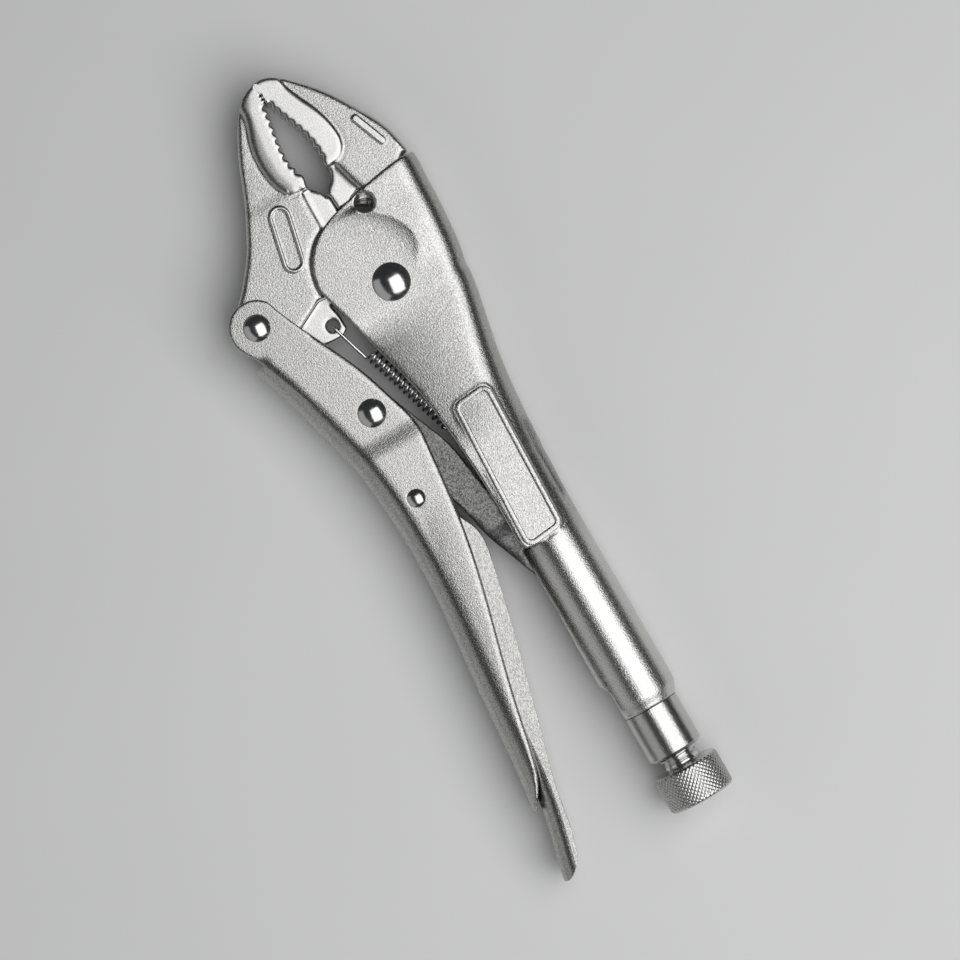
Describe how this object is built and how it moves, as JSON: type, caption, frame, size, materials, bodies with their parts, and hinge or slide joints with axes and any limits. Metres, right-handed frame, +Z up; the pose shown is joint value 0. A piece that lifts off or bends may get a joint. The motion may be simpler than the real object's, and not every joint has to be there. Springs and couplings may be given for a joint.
{
  "type": "locking pliers",
  "caption": "Curved-jaw locking pliers with sheet-metal body, toggle-linked lever, release lever, tension spring and knurled adjusting screw, jaws closed and locked.",
  "frame": {"origin": "centre of the tool's bounding box in plan, on the surface that the tool lies on", "axes": "+X from the jaw tips towards the knob, +Y towards the back of the body, away from the operating lever, +Z up, along the pivot pins"},
  "size_m": [0.2504, 0.0748, 0.0207],
  "materials": {
    "body_steel": "satin nickel plate over sheet steel, fine blasted grain",
    "jaw_steel": "satin nickel plate over forged steel, ground lips",
    "lever_steel": "satin nickel plate over sheet steel",
    "release_steel": "satin nickel plate over thin sheet steel",
    "link_steel": "darker plated forging, rough",
    "rivet_steel": "polished domed heads",
    "sleeve_steel": "satin plated turned steel",
    "screw_steel": "bright plated thread",
    "knob_steel": "satin plated, fine diamond knurl",
    "spring_steel": "bright spring wire"
  },
  "bodies": {
    "body": {"body_channel": "body_steel", "upper_jaw": "jaw_steel", "threaded_sleeve": "sleeve_steel", "main_pivot_rivet": "rivet_steel", "tension_spring": "spring_steel"},
    "lower_jaw": {"lower_jaw": "jaw_steel"},
    "lever": {"lever_channel": "lever_steel", "lower_pivot_rivet": "rivet_steel", "toggle_rivet": "rivet_steel", "release_rivet": "rivet_steel"},
    "link": {"toggle_link": "link_steel"},
    "release": {"release_lever": "release_steel"},
    "screw": {"adjusting_screw": "screw_steel"},
    "knob": {"knurled_knob": "knob_steel"}
  },
  "joints": [
    {"name": "jaw_pivot", "type": "hinge", "parent": "body", "child": "lower_jaw", "pos_m": [-0.054, 0.01255, 0.01035], "axis": [0, 0, 1], "range_deg": [0, 18], "deforming": ["tension_spring"]},
    {"name": "lever_pivot", "type": "hinge", "parent": "lower_jaw", "child": "lever", "pos_m": [-0.0619, -0.02865, 0.01035], "axis": [0, 0, 1], "range_deg": [-52.2, 0]},
    {"name": "toggle_pivot", "type": "hinge", "parent": "lever", "child": "link", "pos_m": [-0.0233, -0.01175, 0.01035], "axis": [0, 0, 1], "range_deg": [0, 59.04]},
    {"name": "release_pivot", "type": "hinge", "parent": "lever", "child": "release", "pos_m": [0.0049, -0.01295, 0.01035], "axis": [0, 0, 1], "range_deg": [0, 3]},
    {"name": "screw_travel", "type": "slide", "parent": "body", "child": "screw", "axis": [1, 0, 0], "range_m": [0, 0.021]},
    {"name": "knob_turn", "type": "hinge", "parent": "screw", "child": "knob", "pos_m": [0.1128, 0.01615, 0.01035], "axis": [1, 0, 0], "range_deg": [0, 4320]}
  ],
  "couplings": [
    {"joint": "lever_pivot", "follows": "jaw_pivot", "ratio": -2.9},
    {"joint": "toggle_pivot", "follows": "jaw_pivot", "ratio": 3.28},
    {"joint": "knob_turn", "follows": "screw_travel", "rad_per_m": 3590.4}
  ]
}
